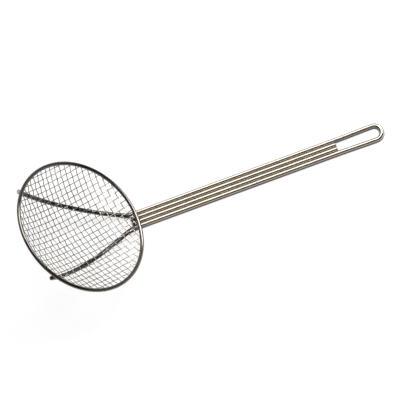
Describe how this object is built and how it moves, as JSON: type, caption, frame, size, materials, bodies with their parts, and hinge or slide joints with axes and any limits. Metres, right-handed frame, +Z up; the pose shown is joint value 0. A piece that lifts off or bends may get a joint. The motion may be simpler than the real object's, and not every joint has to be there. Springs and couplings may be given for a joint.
{
  "type": "mesh skimmer",
  "caption": "Wire mesh skimmer: a dished woven bowl in a round rim, carried on ribs that run into a rod handle with a hanging loop; lifts food out of hot oil or water.",
  "frame": {"origin": "under the middle of the outline, on the surface that the skimmer lies on", "axes": "+X along the handle towards the hanging loop, +Z up from the surface that the skimmer lies on"},
  "size_m": [0.4094, 0.1552, 0.0949],
  "materials": {
    "bright_rod": "bright plated rod, lightly drawn along its length",
    "rim_wire": "bright plated wire",
    "mesh_wire": "plated crimped wire, a little duller than the rods"
  },
  "bodies": {
    "root": {"frame_wire": "bright_rod", "inner_rod_left": "bright_rod", "inner_rod_right": "bright_rod", "rim": "rim_wire", "warp_wire_01": "mesh_wire", "warp_wire_02": "mesh_wire", "warp_wire_03": "mesh_wire", "warp_wire_04": "mesh_wire", "warp_wire_05": "mesh_wire", "warp_wire_06": "mesh_wire", "warp_wire_07": "mesh_wire", "warp_wire_08": "mesh_wire", "warp_wire_09": "mesh_wire", "warp_wire_10": "mesh_wire", "warp_wire_11": "mesh_wire", "warp_wire_12": "mesh_wire", "warp_wire_13": "mesh_wire", "warp_wire_14": "mesh_wire", "warp_wire_15": "mesh_wire", "warp_wire_16": "mesh_wire", "warp_wire_17": "mesh_wire", "warp_wire_18": "mesh_wire", "warp_wire_19": "mesh_wire", "warp_wire_20": "mesh_wire", "warp_wire_21": "mesh_wire", "warp_wire_22": "mesh_wire", "warp_wire_23": "mesh_wire", "warp_wire_24": "mesh_wire", "weft_wire_01": "mesh_wire", "weft_wire_02": "mesh_wire", "weft_wire_03": "mesh_wire", "weft_wire_04": "mesh_wire", "weft_wire_05": "mesh_wire", "weft_wire_06": "mesh_wire", "weft_wire_07": "mesh_wire", "weft_wire_08": "mesh_wire", "weft_wire_09": "mesh_wire", "weft_wire_10": "mesh_wire", "weft_wire_11": "mesh_wire", "weft_wire_12": "mesh_wire", "weft_wire_13": "mesh_wire", "weft_wire_14": "mesh_wire", "weft_wire_15": "mesh_wire", "weft_wire_16": "mesh_wire", "weft_wire_17": "mesh_wire", "weft_wire_18": "mesh_wire", "weft_wire_19": "mesh_wire", "weft_wire_20": "mesh_wire", "weft_wire_21": "mesh_wire", "weft_wire_22": "mesh_wire", "weft_wire_23": "mesh_wire", "weft_wire_24": "mesh_wire"}
  },
  "joints": []
}
